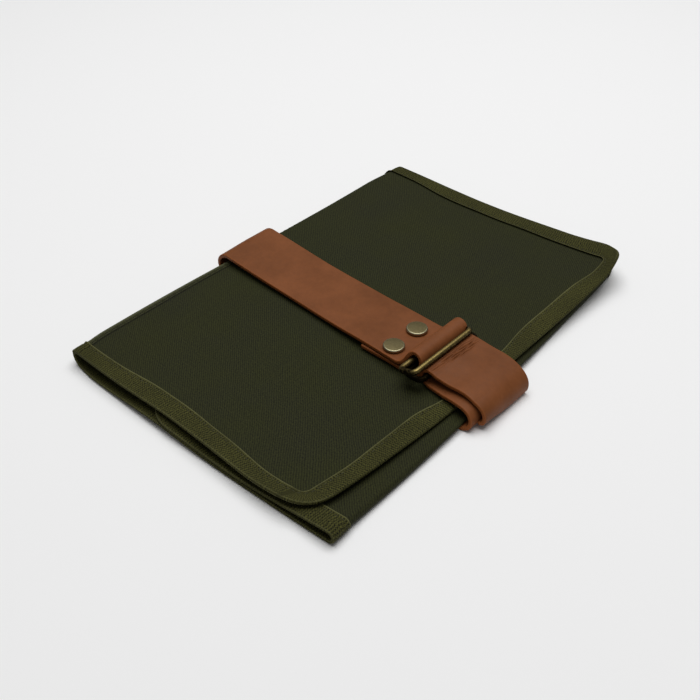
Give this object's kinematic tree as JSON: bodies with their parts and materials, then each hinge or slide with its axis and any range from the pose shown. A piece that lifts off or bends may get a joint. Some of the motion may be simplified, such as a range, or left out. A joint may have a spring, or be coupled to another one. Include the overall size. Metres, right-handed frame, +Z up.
{
  "type": "notebook roll",
  "caption": "Canvas notebook roll folded in three with a taped edge, held shut by a leather strap that is doubled back through wire rings.",
  "frame": {"origin": "middle of the roll's footprint, on the surface that it lies on", "axes": "+X across the folds, towards the strap's tail; +Y along the folds, away from the picture's near end; +Z up"},
  "size_m": [0.1994, 0.271, 0.0229],
  "materials": {
    "waxed_canvas": "dark olive waxed cotton canvas, matt, with a fine weave",
    "cotton_tape": "lighter olive woven cotton tape with fine cross ribs",
    "strap_leather": "tan vegetable-tanned leather, smooth with a soft sheen and darker cut edges",
    "ring_brass": "antique brass wire, darkened in the corners and rubbed bright on top",
    "rivet_metal": "pale antique brass cap, brushed, with a bright bevelled rim"
  },
  "bodies": {
    "root": {"canvas_panel": "waxed_canvas", "edge_binding": "cotton_tape", "strap": "strap_leather", "ring_lower": "ring_brass", "ring_upper": "ring_brass", "rivet_near": "rivet_metal", "rivet_far": "rivet_metal"}
  },
  "joints": []
}
